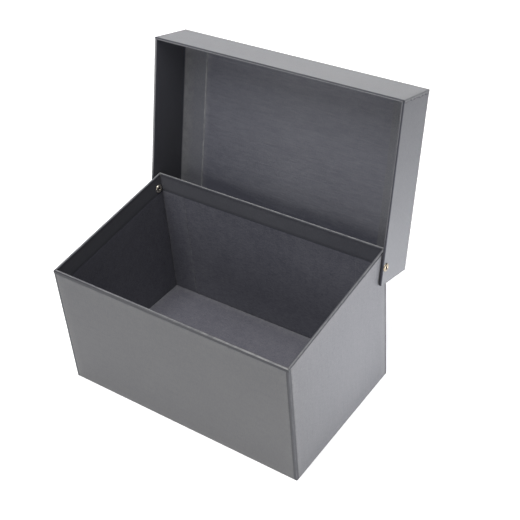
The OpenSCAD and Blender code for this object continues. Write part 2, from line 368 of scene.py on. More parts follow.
def sheet(corners, out, thick, roll=1.3 * MM, step=0.3, cell=8 * MM, wave=0.05 * MM, seed=0.0,
          tone=None, worn_and_lit=1.0, top_edge_shade=0.0):
    """Flat sheet on a board: flat back on the corners' plane, rolled edges, a little swell."""
    a, b, c, d = [Vector(p) for p in corners]
    out = Vector(out).normalized()
    width = ((b - a).length + (c - d).length) / 2
    height = ((d - a).length + (c - b).length) / 2
    us, vs = stations(width, roll, cell), stations(height, roll, cell)
    verts, wear_and_highlight, crease_and_shade, tones = [], [], [], []
    for v in vs:
        for u in us:
            s, t = u / width, v / height
            flat = (a.lerp(b, s)).lerp(d.lerp(c, s), t)
            du, dv = min(u, width - u), min(v, height - v)
            lift = step + (1 - step) * rolled(du / roll) * rolled(dv / roll)
            swell = 0.5 + 0.5 * noise.noise(flat * 24 + Vector((seed, -seed, seed)))
            fade = min(1.0, min(du, dv) / (9 * MM))
            verts.append(flat + out * (thick * lift - wave * swell * fade))
            edge = min(du, dv)
            wear_and_highlight.append(worn_and_lit * max(0.0, 1 - edge / (1.6 * roll)))
            # Where top_edge_shade is set, both edges across v are painted dark as shade, dulling the
            # light on a lining's rolled top edge.
            crease_and_shade.append(top_edge_shade * max(0.0, 1 - dv / roll))
            tones.append(tone(flat) if tone else 0.0)
    nu, nv = len(us), len(vs)
    faces = [(j * nu + i, j * nu + i + 1, (j + 1) * nu + i + 1, (j + 1) * nu + i)
             for j in range(nv - 1) for i in range(nu - 1)]
    loop = border(nu, nv)
    back = []
    for index in loop:
        j, i = divmod(index, nu)
        s, t = us[i] / width, vs[j] / height
        back.append(len(verts))
        verts.append((a.lerp(b, s)).lerp(d.lerp(c, s), t))
        # The sheet's sides are painted darker as shade at its step.
        wear_and_highlight.append(0.0)
        crease_and_shade.append(0.6)
        tones.append(tones[index])
    count = len(loop)
    faces += [(loop[i], back[i], back[(i + 1) % count], loop[(i + 1) % count])
              for i in range(count)]
    faces.append(tuple(back))
    return verts, faces, wear_and_highlight, crease_and_shade, tones


def arc(cx, cy, radius, start, end, count=5):
    """Points of an arc, angles in degrees."""
    points = []
    for i in range(count + 1):
        a = math.radians(start + (end - start) * i / count)
        points.append((cx + radius * math.cos(a), cy + radius * math.sin(a)))
    return points


HIDDEN_CREASE = 0.4
END_CREASE = 0.55


def folded(shown, hidden, place, ends, steps, worn_and_lit, creased_and_shaded, toned):
    """Sheet folded to a profile and run along a rim. shown and hidden are the profile's two
    faces, place(a, h, s) the point, ends(a, h) where its run starts and stops."""
    ring = shown + hidden[::-1]
    flags_wear_and_highlight = worn_and_lit + [0.0] * len(hidden)
    flags_crease_and_shade = creased_and_shaded + [HIDDEN_CREASE] * len(hidden)
    flags_tone = toned + [0.0] * len(hidden)
    verts, wear_and_highlight, crease_and_shade, tones = [], [], [], []
    for step in steps:
        for (a, h), w, c, t in zip(ring, flags_wear_and_highlight, flags_crease_and_shade, flags_tone):
            s0, s1 = ends(a, h)
            verts.append(place(a, h, s0 + (s1 - s0) * step))
            at_end = step in (steps[0], steps[-1])
            wear_and_highlight.append(w)
            crease_and_shade.append(max(c, END_CREASE) if at_end else c)
            tones.append(t)
    n, m = len(ring), len(shown)
    faces = []
    for k in range(len(steps) - 1):
        for i in range(n):
            j = (i + 1) % n
            faces.append((k * n + i, k * n + j, (k + 1) * n + j, (k + 1) * n + i))
    for k in (0, len(steps) - 1):
        for i in range(m - 1):
            faces.append((k * n + i, k * n + i + 1, k * n + n - 2 - i, k * n + n - 1 - i))
    return verts, faces, wear_and_highlight, crease_and_shade, tones


def piece(name, parts, body, material, replaced, matrix=None, smooth_angle=40):
    """One object from its parts, riding on its body in place of the CAD nodes."""
    verts, faces, paint = [], [], {"wear_and_highlight": [], "crease_and_shade": [], "tone": []}
    for part in parts:
        offset = len(verts)
        verts += [matrix @ Vector(v) if matrix else Vector(v) for v in part[0]]
        faces += [tuple(i + offset for i in f) for f in part[1]]
        for key, values in zip(paint, part[2:]):
            paint[key] += values
    mesh = bpy.data.meshes.new(name)
    mesh.from_pydata(verts, [], faces)
    mesh.update()
    for key, values in paint.items():
        attribute = mesh.attributes.new(key, "FLOAT", "POINT")
        attribute.data.foreach_set("value", [float(v) for v in values])
    bm = bmesh.new()
    bm.from_mesh(mesh)
    bmesh.ops.recalc_face_normals(bm, faces=bm.faces)
    bm.to_mesh(mesh)
    bm.free()
    mesh.polygons.foreach_set("use_smooth", [True] * len(mesh.polygons))
    mesh.set_sharp_from_angle(angle=math.radians(smooth_angle))
    mesh.materials.append(material)
    obj = bpy.data.objects.new(name, mesh)
    bpy.context.scene.collection.objects.link(obj)
    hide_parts(*replaced)
    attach(obj, body)
    return obj


def wobble(x, seed, size):
    """Small smooth deviation along a rim."""
    return size * noise.noise(Vector((x * 60, seed, 0.3)))


# ---------------------------------------------------------------- base: outer sheets

COVER_ROLL = 1.3 * MM
FRONT_TONE = -0.13
FRONT_TONE_RISE = 0.12


def front_shade(p):
    """The front sheet is painted a little darker than its base colour, most of all on the left, as
    shade.
    """
    return FRONT_TONE_RISE * p.x / strip_x + FRONT_TONE


def level_cover(name, node, side):
    low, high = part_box(node)
    y = board_y * side
    x0, x1 = (low.x, high.x) if side < 0 else (high.x, low.x)
    corners = [(x0, y, low.z), (x1, y, low.z), (x1, y, high.z), (x0, y, high.z)]
    part = sheet(corners, (0, side, 0), base_out_y - board_y, COVER_ROLL, seed=side * 3.0,
                 tone=front_shade if side < 0 else None)
    piece(name, [part], "base", front_shaded_paper if side < 0 else cover_paper, [node])


def sloped_cover(name, node, side):
    low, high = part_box(node)
    x = board_x * side
    y0, y1 = (low.y, high.y) if side > 0 else (high.y, low.y)
    corners = [(x, y0, low.z), (x, y1, low.z),
               (x, y1, rim_at(y1) - side_margin), (x, y0, rim_at(y0) - side_margin)]
    part = sheet(corners, (side, 0, 0), base_out_x - board_x, COVER_ROLL, seed=side * 5.0)
    piece(name, [part], "base", cover_paper, [node])


def bottom_cover(name, node):
    low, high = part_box(node)
    corners = [(low.x, high.y, high.z), (high.x, high.y, high.z),
               (high.x, low.y, high.z), (low.x, low.y, high.z)]
    part = sheet(corners, (0, 0, -1), high.z - low.z, COVER_ROLL, wave=0.02 * MM)
    piece(name, [part], "base", cover_paper, [node])


level_cover("front_outer_sheet", "base_front_cover", -1)
level_cover("rear_outer_sheet", "base_rear_cover", 1)
sloped_cover("left_outer_sheet", "base_left_cover", -1)
sloped_cover("right_outer_sheet", "base_right_cover", 1)
bottom_cover("bottom_sheet", "base_bottom_cover")


# ---------------------------------------------------------------- base: rim strips

RIM_ROUND = 0.8 * MM
RIM_WAVE = 0.09 * MM
RIM_BAND = 1.3 * MM         # what lies nearer the rim than this belongs to its top
MITRE_GAP = 0.06 * MM
CLEARANCE = 0.05 * MM
END_ROLL, RIM_CELL = 1.5 * MM, 6 * MM
RIGHT_END_TONE = 0.25
LEFT_END_DARKER = 0.8


def rim_profile(margin, depth, width, thick, radius, rubbed_and_lit, edge, top_tone, band_tone):
    """Strip folded over a wall: outer leg, top, inner leg. a runs inwards, h up from the rim.
    rubbed_and_lit is how far the top is painted light, partly wear and partly painted highlight;
    edge is how far painted shade darkens its outer roll; the tones are those of the top and inner
    leg, and a raised top tone is a painted highlight."""
    def lines(offset, r):
        pts = [(offset, -margin), (offset, -(margin + radius) / 2 - offset / 2)]
        pts += arc(radius, -radius, r, 180, 90)
        pts += [(width * 0.42, -offset), (width * 0.58, -offset)]
        pts += arc(width - radius, -radius, r, 90, 0)
        pts += [(width - offset, -depth * f) for f in (0.2, 0.5, 0.8, 1.0)]
        return pts
    shown, hidden = lines(0.0, radius), lines(thick, radius - thick)
    worn_and_lit = [0.0, 0.0] + [rubbed_and_lit * k for k in (0.0, 0.3, 1.0, 1.0, 1.0, 1.0)]
    worn_and_lit += [0.9 * rubbed_and_lit, 0.5 * rubbed_and_lit] + [0.0] * 10
    # The outer leg, the outer roll and the inner turn are painted dark as shade.
    creased_and_shaded = [1.0, 1.0] + [1.0, 0.6 + 0.4 * edge, edge, 0.5 * edge, 0.0, 0.0]
    creased_and_shaded += [0.0] * 2
    creased_and_shaded += [0.3, 0.5, 0.7, 0.8, 0.8, 0.7] + [0.1, 0.0, 0.0, 0.6]
    toned = [0.0] * 3 + [top_tone] * 7 + [0.0] * 6 + [band_tone] * 4
    return shown, hidden, worn_and_lit, creased_and_shaded, toned


def notch(a, h, size):
    """Gap at a mitred corner, widest at the inner edge of the rim's top."""
    return MITRE_GAP + (size * a / rim_w if h > -RIM_BAND else 0.0)


def level_rim(name, node, side, rim, notch_size):
    margin = rim - (cover_top_front if side < 0 else cover_top_rear)
    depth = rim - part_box(node)[0].z
    shown, hidden, worn_and_lit, creased_and_shaded, toned = rim_profile(
        margin, depth, rim_w, binding_t, RIM_ROUND, rubbed_and_lit=1.4, edge=0.0, top_tone=0.7, band_tone=0.0)

    def ends(a, h):
        end = strip_x - a - notch(a, h, notch_size)
        return -end, end

    def place(a, h, s):
        lift = wobble(s, 2.0 + side, RIM_WAVE) if h > -RIM_BAND else 0.0
        return Vector((s, side * (strip_y - a), rim + h + min(0.0, lift - CLEARANCE)))

    steps = [s / (2 * strip_x) for s in stations(2 * strip_x, END_ROLL, RIM_CELL)]
    part = folded(shown, hidden, place, ends, steps, worn_and_lit, creased_and_shaded, toned)
    wear_and_highlight, crease_and_shade, tones = part[2:]
    for i, p in enumerate(part[0]):
        if p.z < rim - 1.5 * MM:
            tones[i] -= RIGHT_END_TONE * max(0.0, p.x / strip_x)
        # Towards the left end, the front rim's outer roll loses its light edge and is painted darker.
        if side < 0 and p.z > rim - 1.2 * MM and p.y < -strip_y + RIM_ROUND:
            left = 0.5 - 0.5 * p.x / strip_x
            wear_and_highlight[i] *= 1 - LEFT_END_DARKER * left
            crease_and_shade[i] = max(crease_and_shade[i], left)
    piece(name, [part], "base", binding_paper, [node])


def sloped_rim(name, node, side, notch_front, notch_rear, rubbed_and_lit):
    depth = rear_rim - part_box("base_rear_binding")[0].z
    # The tops' tones differ from rim to rim as painted light; the right rim's outer roll is painted
    # dark as shade.
    edge, top_tone = (0.0, 0.3) if side < 0 else (1.0, 0.6)
    shown, hidden, worn_and_lit, creased_and_shaded, toned = rim_profile(
        side_margin, depth, rim_w, binding_t, RIM_ROUND, rubbed_and_lit, edge, top_tone, band_tone=0.12)

    def ends(a, h):
        end = strip_y - a
        return notch(a, h, notch_front) - end, end - notch(a, h, notch_rear)

    def place(a, h, s):
        lift = wobble(s, 7.0 + side, RIM_WAVE) if h > -RIM_BAND else 0.0
        return Vector((side * (strip_x - a), s, rim_at(s) + h + min(0.0, lift - CLEARANCE)))

    steps = [s / (2 * strip_y) for s in stations(2 * strip_y, END_ROLL, RIM_CELL)]
    part = folded(shown, hidden, place, ends, steps, worn_and_lit, creased_and_shaded, toned)
    piece(name, [part], "base", binding_paper, [node])


level_rim("front_rim_strip", "base_front_binding", -1, front_rim, 0.8 * MM)
level_rim("rear_rim_strip", "base_rear_binding", 1, rear_rim, 1.1 * MM)
# The left rim's top is painted lighter than the right's, partly wear and partly painted highlight.
sloped_rim("left_rim_strip", "base_left_binding", -1, 0.5 * MM, 1.1 * MM, 1.0)
sloped_rim("right_rim_strip", "base_right_binding", 1, 0.8 * MM, 1.1 * MM, 0.6)


# ---------------------------------------------------------------- base: corner strips

CORNER_TONE = -0.15


def corner(name, node, side_x, side_y, rim):
    """Strip folded round an upright corner under the rim strips."""
    level_top = (cover_top_front if side_y < 0 else cover_top_rear) - CLEARANCE
    r, t = RIM_ROUND, binding_t
    half_x = (cover_edge_x + strip_x - r) / 2
    half_y = (cover_edge_y + strip_y - r) / 2

    def lines(offset, radius):
        pts = [(cover_edge_x, strip_y - offset), (half_x, strip_y - offset)]
        pts += arc(strip_x - r, strip_y - r, radius, 90, 0)
        pts += [(strip_x - offset, half_y), (strip_x - offset, cover_edge_y)]
        return pts

    shown, hidden = lines(0.0, r), lines(t, r - t)
    # The rounded corner is painted lighter, partly wear and partly painted highlight, and both edges
    # next to the covers darker, as painted shade at the steps.
    worn_and_lit = [0.0, 0.0, 0.1, 0.3, 0.5, 0.5, 0.3, 0.1, 0.0, 0.0]
    creased_and_shaded = [1.0, 0.75, 0.6, 0.45, 0.35, 0.35, 0.45, 0.65, 0.8, 1.0]

    def ends(x, y):
        share = min(1.0, max(0.0, (x - (strip_x - r)) / r))
        sloped_top = rim_at(side_y * y) - side_margin - CLEARANCE
        return 0.0, level_top * (1 - share) + sloped_top * share

    def place(x, y, z):
        drift = 1 + wobble(z, side_x + 2 * side_y, 0.0004)
        return Vector((side_x * x * drift, side_y * y * drift, z))

    steps = [s / rim for s in stations(rim, END_ROLL, 8 * MM)]
    part = folded(shown, hidden, place, ends, steps, worn_and_lit, creased_and_shaded, [CORNER_TONE] * len(shown))
    piece(name, [part], "base", binding_paper, [node])


corner("front_left_corner", "front_left_corner_strip", -1, -1, front_rim)
corner("front_right_corner", "front_right_corner_strip", 1, -1, front_rim)
corner("rear_left_corner", "rear_left_corner_strip", -1, 1, rear_rim)
corner("rear_right_corner", "rear_right_corner_strip", 1, 1, rear_rim)


# ---------------------------------------------------------------- base: linings and floor

LINING_ROLL = 0.9 * MM
LINING_CELL = 6 * MM
LINING_WAVE = 0.08 * MM
LAP = 28 * MM
LAP_STEP = 0.2 * MM
LAP_TONE = -0.04


def level_lining(name, node, side):
    """Lining of the front or rear wall, with the laps of the side linings over its ends."""
    low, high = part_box(node)
    y = high.y if side > 0 else low.y
    thick = high.y - low.y

    def strip(xa, xb, depth, seed, worn_and_lit, tone):
        x0, x1 = (xb, xa) if side < 0 else (xa, xb)
        corners = [(x0, y, low.z), (x1, y, low.z), (x1, y, high.z), (x0, y, high.z)]
        return sheet(corners, (0, -side, 0), depth, LINING_ROLL, step=0.5, cell=LINING_CELL,
                     wave=LINING_WAVE, seed=seed, tone=lambda p: tone, worn_and_lit=worn_and_lit, top_edge_shade=1.0)

    parts = [strip(low.x + LAP, high.x - LAP, thick - LAP_STEP, side * 11.0, 0.0, 0.0),
             strip(low.x, low.x + LAP, thick, 4.0, 1.3, LAP_TONE),
             strip(high.x - LAP, high.x, thick, 6.0, 0.6, LAP_TONE)]
    piece(name, parts, "base", lining_paper, [node])


def sloped_lining(name, node, side):
    low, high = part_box(node)
    x = high.x if side > 0 else low.x
    y0, y1 = (high.y, low.y) if side > 0 else (low.y, high.y)
    drop = rim_at(high.y) - high.z
    corners = [(x, y0, low.z), (x, y1, low.z),
               (x, y1, rim_at(y1) - drop), (x, y0, rim_at(y0) - drop)]
    part = sheet(corners, (-side, 0, 0), high.x - low.x, LINING_ROLL, step=0.55,
                 cell=LINING_CELL, wave=LINING_WAVE, seed=side * 13.0, worn_and_lit=0.0, top_edge_shade=1.0)
    piece(name, [part], "base", lining_paper, [node])


def floor_sheet(name, node):
    low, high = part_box(node)
    corners = [(low.x, low.y, low.z), (high.x, low.y, low.z),
               (high.x, high.y, low.z), (low.x, high.y, low.z)]
    part = sheet(corners, (0, 0, 1), high.z - low.z, 1.5 * MM, step=0.2, worn_and_lit=1.6)
    piece(name, [part], "base", floor_paper, [node])


level_lining("front_lining_sheet", "base_front_lining", -1)
level_lining("rear_lining_sheet", "base_rear_lining", 1)
sloped_lining("left_lining_sheet", "base_left_lining", -1)
sloped_lining("right_lining_sheet", "base_right_lining", 1)
floor_sheet("floor_sheet", "floor_pad_paper")


# ---------------------------------------------------------------- lid

LID_ROUND = 0.8 * MM
FILLET = 0.7 * MM
SKIRT_CORNER = 1.2 * MM
SKIRT_WAVE = 0.08 * MM
MITRE_OPENING = 0.45 * MM   # how much wider a lid mitre is at its inner edge
HINGE_SHADE, HINGE_SHADE_FADE = 50 * MM, 20 * MM
REAR_LIGHT_TONE = 0.3
FRONT_END_SHADE_TONE = 0.14


def skirt_profile(outer_top, rim, tab, tab_wear_and_highlight, tab_tone, darkening=1.0, with_outside=True):
    """Sheet round a skirt: outside, rim, inside and a tab on the panel. a runs inwards.
    darkening is how much painted shade darkens the rim; an unshaded rim is painted light instead,
    partly wear and partly painted highlight."""
    r, t, f = LID_ROUND, wrap_t, FILLET
    deep = panel_z - t

    def lines(offset, radius, fillet_radius):
        pts = []
        if with_outside:
            pts += [(offset, outer_top), (offset, rim + (outer_top - rim) * 0.66),
                    (offset, rim + (outer_top - rim) * 0.33), (offset, rim + r + 0.6 * MM)]
        pts += arc(r, rim + r, radius, 180, 270)
        pts += [(lid_wall * k, rim + offset) for k in (0.36, 0.5, 0.64)]
        pts += arc(lid_wall - r, rim + r, radius, 270, 360)
        pts += [(lid_wall - offset, rim + (deep - rim) * k) for k in (0.3, 0.6)]
        pts += arc(lid_wall + f, deep - f, fillet_radius, 180, 90, 3)
        pts += [(lid_wall + k, deep + offset)
                for k in (f + 0.7 * MM, tab / 2, tab - 1.8 * MM, tab - 0.8 * MM, tab)]
        return pts

    shown, hidden = lines(0.0, r, f), lines(t, r - t, f + t)
    outside = [0.0] * 4 if with_outside else []
    light = 1.2 - 0.8 * darkening
    unshaded = 1 - darkening
    # The unshaded rim and the tab's edge are painted light, partly wear and partly painted highlight;
    # the rim, the inside and the tab are painted darker as shade.
    worn_and_lit = outside + [light, light * unshaded] + [unshaded] * 4 + [unshaded, 0.4 + 0.6 * unshaded, 1.0]
    worn_and_lit += [0.5, 0.2, 0.0, 0.0, 0.0, 0.0] + [0.0] * 6 + [tab_wear_and_highlight * 0.6, 0.0, 0.0]
    worn_and_lit += [tab_wear_and_highlight] * 2
    creased_and_shaded = outside + [darkening * k for k in (0.7, 1.0, 1.0, 1.0, 1.0, 1.0)]
    creased_and_shaded += [darkening, 0.5 * darkening, 0.0] + [0.2 * darkening, 0.7 * darkening, 0.95 * darkening]
    creased_and_shaded += [0.95 - 0.5 * unshaded, 0.8, 0.7, 0.6, 0.6]
    creased_and_shaded += [0.7, 0.7, 0.5, 0.1] + [0.0] * 5
    toned = outside + [0.3 * unshaded - 0.4 * darkening * k for k in (0.5, 1.0, 1.0, 1.0, 1.0, 1.0)]
    toned += [0.3 * unshaded - 0.4 * darkening, 0.3 * unshaded - 0.1, 0.1 + 0.2 * unshaded]
    toned += [-0.3 * darkening] + [-0.5 * darkening] * 2 + [-0.5] * 5 + [-0.5, -0.5, -0.4, tab_tone + 0.2]
    toned += [tab_tone + 0.3, tab_tone + 0.05] + [tab_tone] * 3
    return shown, hidden, worn_and_lit, creased_and_shaded, toned


def side_wrap(name, node, side):
    """Side sheet of the lid, with the strip that closes its rear end."""
    top = lid_top - wrap_t
    # The left skirt's rim and tab edge are painted light and its tab darker as shade; the right
    # skirt's rim is painted in shade.
    tab_wear_and_highlight, tab_tone, darkening = (1.4, -0.43, 0.0) if side < 0 else (0.0, -0.25, 1.0)
    shown, hidden, worn_and_lit, creased_and_shaded, toned = skirt_profile(
        top, lid_rim, side_tab, tab_wear_and_highlight, tab_tone, darkening)
    length = lid_rear - lid_front

    def ends(a, h):
        if a > lid_wall + 0.5 * MM:
            return lid_front + lid_wall, lid_rear - lid_wall
        on_rim = h < lid_rim + RIM_BAND
        gap = MITRE_GAP + (MITRE_OPENING * a / lid_wall if on_rim else 0.0)
        return lid_front + max(wrap_t, a) + gap, lid_rear - CLEARANCE

    def place(a, h, s):
        near = max(0.0, SKIRT_CORNER - (lid_rear - s))
        lift = SKIRT_CORNER - math.sqrt(max(0.0, SKIRT_CORNER ** 2 - near ** 2))
        low_part = min(1.0, max(0.0, (lid_rim + 2.4 * MM - h) / (1.6 * MM)))
        wave = wobble(s, 20.0 + side, SKIRT_WAVE) if h < lid_rim + RIM_BAND else 0.0
        return Vector((side * (lid_x - a), s, h + lift * low_part + max(0.0, wave)))

    steps = [s / length for s in stations(length, 1.3 * MM, 6 * MM)]
    wrap = folded(shown, hidden, place, ends, steps, worn_and_lit, creased_and_shaded, toned)
    wear_and_highlight, crease_and_shade, tones = wrap[2:]
    for i, p in enumerate(wrap[0]):
        if abs(p.x) > lid_x - 0.3 * MM:
            # Painted light: the outside is lighter towards the rear end and darker towards the front
            # end.
            share = (p.y - lid_front) / length
            tones[i] += REAR_LIGHT_TONE * share - FRONT_END_SHADE_TONE * (1 - share) ** 2
        # Painted shade: near the hinge end the rim loses its light edge and is painted dark, the
        # inner half darkest, for the shadow in the gap beside the base.
        elif p.z < lid_rim + 1.5 * MM:
            near_hinge = min(1.0, max(0.0, (p.y - lid_rear + HINGE_SHADE) / HINGE_SHADE_FADE))
            inner = abs(p.x) < lid_x - 0.5 * lid_wall
            wear_and_highlight[i] *= 1 - near_hinge
            crease_and_shade[i] = max(crease_and_shade[i], (1.0 if inner else 0.5) * near_hinge)
    y = lid_rear - wrap_t
    x0, x1 = (lid_x, lid_in_x) if side > 0 else (-lid_in_x, -lid_x)
    low_z = lid_rim + SKIRT_CORNER * 0.8
    closing = sheet([(x0, y, low_z), (x1, y, low_z), (x1, y, top), (x0, y, top)],
                    (0, 1, 0), wrap_t, 0.7 * MM, wave=0.0, worn_and_lit=0.6)
    piece(name, [wrap, closing], "lid", lid_paper, [node], lid_matrix)


side_wrap("lid_left_sheet", "lid_left_wrap", -1)
side_wrap("lid_right_sheet", "lid_right_wrap", 1)

LAP_T = 0.3 * MM
LAP_PLEAT = 0.25 * MM
# FRONT_SKIRT_TONE and FRONT_SKIRT_RISE paint shade on the lid's front face, darkest on the left.
FRONT_SKIRT_TONE = -0.13
FRONT_SKIRT_RISE = 0.14
FRONT_SKIRT_LAP_TONE = -0.02


def lap_width(z, side):
    """How far the front sheet laps on to the side skirt at height z; its cut edge is ragged."""
    share = (z - lid_rim) / (lid_top - lid_rim)
    pleats = abs(math.sin(share * math.pi * 3.4 + side)) ** 1.5
    ragged = noise.noise(Vector((z * 420, side * 4.0, 1.7)))
    return (1.1 + 1.5 * share + 1.2 * pleats + 0.7 * ragged) * MM


def front_point(kind, value, side, z, layer):
    """Point of the front sheet's shown (layer 0) or hidden (layer 1) face, with its
    wear_and_highlight, crease_and_shade and tone. kind says whether it lies on the face, the turned
    corner or the lap."""
    r, straight = LID_ROUND, lid_x - LID_ROUND
    if kind == "line":
        swell = 0.05 * MM * (0.5 + 0.5 * noise.noise(Vector((value * 24, z * 24, 2))))
        y = lid_front + (wrap_t if layer else swell)
        return (value, y, z), 0.0, 0.0, FRONT_SKIRT_TONE + FRONT_SKIRT_RISE * value / straight
    pleat = noise.noise(Vector((z * 330, side * 2.0, 5.1)))
    out = LAP_T + max(0.0, pleat) * LAP_PLEAT
    if kind == "turn":
        a = math.radians(90 * value)
        rx = r - wrap_t * (1 - value) if layer else r + out * value
        ry = r - wrap_t if layer else r
        p = (side * (straight + rx * math.sin(a)), lid_front + r - ry * math.cos(a), z)
        return p, 0.7 * math.sin(a * 2), 0.0, FRONT_SKIRT_LAP_TONE
    rise = 0.0 if layer else out * (1 - 0.5 * value)
    p = (side * (lid_x + rise), lid_front + r + lap_width(z, side) * value, z)
    # Darker marks along the lapped edge, stronger at the pleats.
    darkening = max(0.0, value - 0.4) * (2.0 + 3.5 * pleat)
    return p, 0.5 * (1 - value), min(1.0, max(0.0, darkening)), FRONT_SKIRT_LAP_TONE


def front_outside():
    """Outside of the front sheet with its ends lapped round the corners."""
    low_z, high_z = lid_rim + LID_ROUND, lid_top - wrap_t
    rows, columns = 56, 34
    zs = [low_z + (high_z - low_z) * i / rows for i in range(rows + 1)]
    straight = lid_x - LID_ROUND
    face = [("line", -straight + 2 * straight * i / columns) for i in range(columns + 1)]
    turn = [("turn", k / 4) for k in range(1, 5)]
    flap = [("flap", k) for k in (0.3, 0.6, 0.8, 1.0)]
    path = [(kind, value, -1) for kind, value in reversed(turn + flap)]
    path += [(kind, value, 0) for kind, value in face]
    path += [(kind, value, 1) for kind, value in turn + flap]
    points = [front_point(kind, value, side, z, layer)
              for layer in (0, 1) for z in zs for kind, value, side in path]
    verts, wear_and_highlight, crease_and_shade, tones = (list(values) for values in zip(*points))
    nu, nv = len(path), len(zs)
    size = nu * nv
    faces = []
    for j in range(nv - 1):
        for i in range(nu - 1):
            q = (j * nu + i, j * nu + i + 1, (j + 1) * nu + i + 1, (j + 1) * nu + i)
            faces += [q, tuple(size + k for k in q[::-1])]
    loop = border(nu, nv)
    for i, a in enumerate(loop):
        b = loop[(i + 1) % len(loop)]
        faces.append((a, size + a, size + b, b))
    return verts, faces, wear_and_highlight, crease_and_shade, tones


def cross_wrap(name, node, front):
    """Front or rear sheet of the lid, between the side skirts inside."""
    rim = lid_rim if front else rear_skirt_rim
    top = lid_top - wrap_t
    shown, hidden, worn_and_lit, creased_and_shaded, toned = skirt_profile(
        top, rim, cross_tab, tab_wear_and_highlight=0.0, tab_tone=-0.2, darkening=0.8, with_outside=not front)

    def ends(a, h):
        if a > lid_wall + 0.5 * MM:
            end = lid_in_x - side_tab
        elif not front:
            end = lid_in_x - CLEARANCE
        else:
            on_rim = h < rim + RIM_BAND
            end = lid_x - a - MITRE_GAP - (MITRE_OPENING * a / lid_wall if on_rim else 0.0)
        return -end, end

    def place(a, h, s):
        wave = wobble(s, 30.0, SKIRT_WAVE) if h < rim + RIM_BAND else 0.0
        y = lid_front + a if front else lid_rear - a
        return Vector((s, y, h + max(0.0, wave)))

    steps = [s / (2 * lid_x) for s in stations(2 * lid_x, 1.3 * MM, 6 * MM)]
    parts = [folded(shown, hidden, place, ends, steps, worn_and_lit, creased_and_shaded, toned)]
    if front:
        parts.append(front_outside())
    piece(name, parts, "lid", lid_paper, [node], lid_matrix)


cross_wrap("lid_front_sheet", "lid_front_wrap", True)
cross_wrap("lid_rear_sheet", "lid_rear_wrap", False)

# Painted shade on the panel lining: full at FOLD_DARK from the hinge-end fold, gone at FOLD_CLEAR,
# and growing to the left over LEFT_SHADE.
FOLD_DARK, FOLD_CLEAR = 11 * MM, 27 * MM
LEFT_SHADE = 90 * MM
PANEL_FOLD_TONE = -0.5
PANEL_LEFT_TONE = -0.3


def lid_panel(name, node):
    z = lid_top - wrap_t
    corners = [(-lid_x, lid_front, z), (lid_x, lid_front, z),
               (lid_x, lid_rear, z), (-lid_x, lid_rear, z)]
    part = sheet(corners, (0, 0, 1), wrap_t, 1.0 * MM, step=0.35, wave=0.06 * MM, seed=21.0)
    piece(name, [part], "lid", lid_paper, [node], lid_matrix)


def panel_shade(p):
    """The lining is painted darker towards the fold at the hinge end and to the left, as shade."""
    fold = (FOLD_CLEAR - (panel_high.y - p.y)) / (FOLD_CLEAR - FOLD_DARK)
    left = min(1.0, max(0.0, -p.x / LEFT_SHADE))
    return PANEL_FOLD_TONE * min(1.0, max(0.0, fold)) + PANEL_LEFT_TONE * left


def lid_lining(name, node):
    """Lining sheet of the panel; only its left edge is painted light, partly wear and partly painted
    highlight.
    """
    z = panel_high.z
    corners = [(panel_low.x, panel_high.y, z), (panel_high.x, panel_high.y, z),
               (panel_high.x, panel_low.y, z), (panel_low.x, panel_low.y, z)]
    part = sheet(corners, (0, 0, -1), panel_lining_t, 1.0 * MM, step=0.6, cell=5 * MM,
                 wave=0.12 * MM, seed=17.0, tone=panel_shade, worn_and_lit=1.3)
    for i, p in enumerate(part[0]):
        if p.x > panel_low.x + 2 * MM:
            part[2][i] = 0.0
    piece(name, [part], "lid", panel_paper, [node], lid_matrix)


lid_panel("lid_panel_sheet", "lid_top_cover")
lid_lining("lid_panel_lining", "lid_top_lining")


# ---------------------------------------------------------------- rivets

HOLE_R, BARREL_R = 1.3 * MM, 2.2 * MM
SEAT = 0.02 * MM
RIVET_TURNS = 56
# ROLLED_HIGHLIGHT_TONE paints the rolled end lighter as a painted highlight; HEAD_SHADE_TONE paints
# the head darker as painted shade.
ROLLED_HIGHLIGHT_TONE, HEAD_SHADE_TONE = 0.45, -0.4


def bead(outer_r, foot, height, count=9):
    """Half-round cross-section from the hole out to outer_r."""
    inner_r = HOLE_R + 0.1 * MM
    middle, half = (outer_r + inner_r) / 2, (outer_r - inner_r) / 2
    points = []
    for i in range(count + 1):
        a = math.pi * i / count
        # The bead's inner flank darkens into the hole, partly tarnish and partly painted shade.
        dark = max(0.0, 0.9 - 1.6 * math.sin(a)) if math.cos(a) < 0 else 0.0
        points.append((middle + half * math.cos(a), foot + height * math.sin(a), dark))
    return points


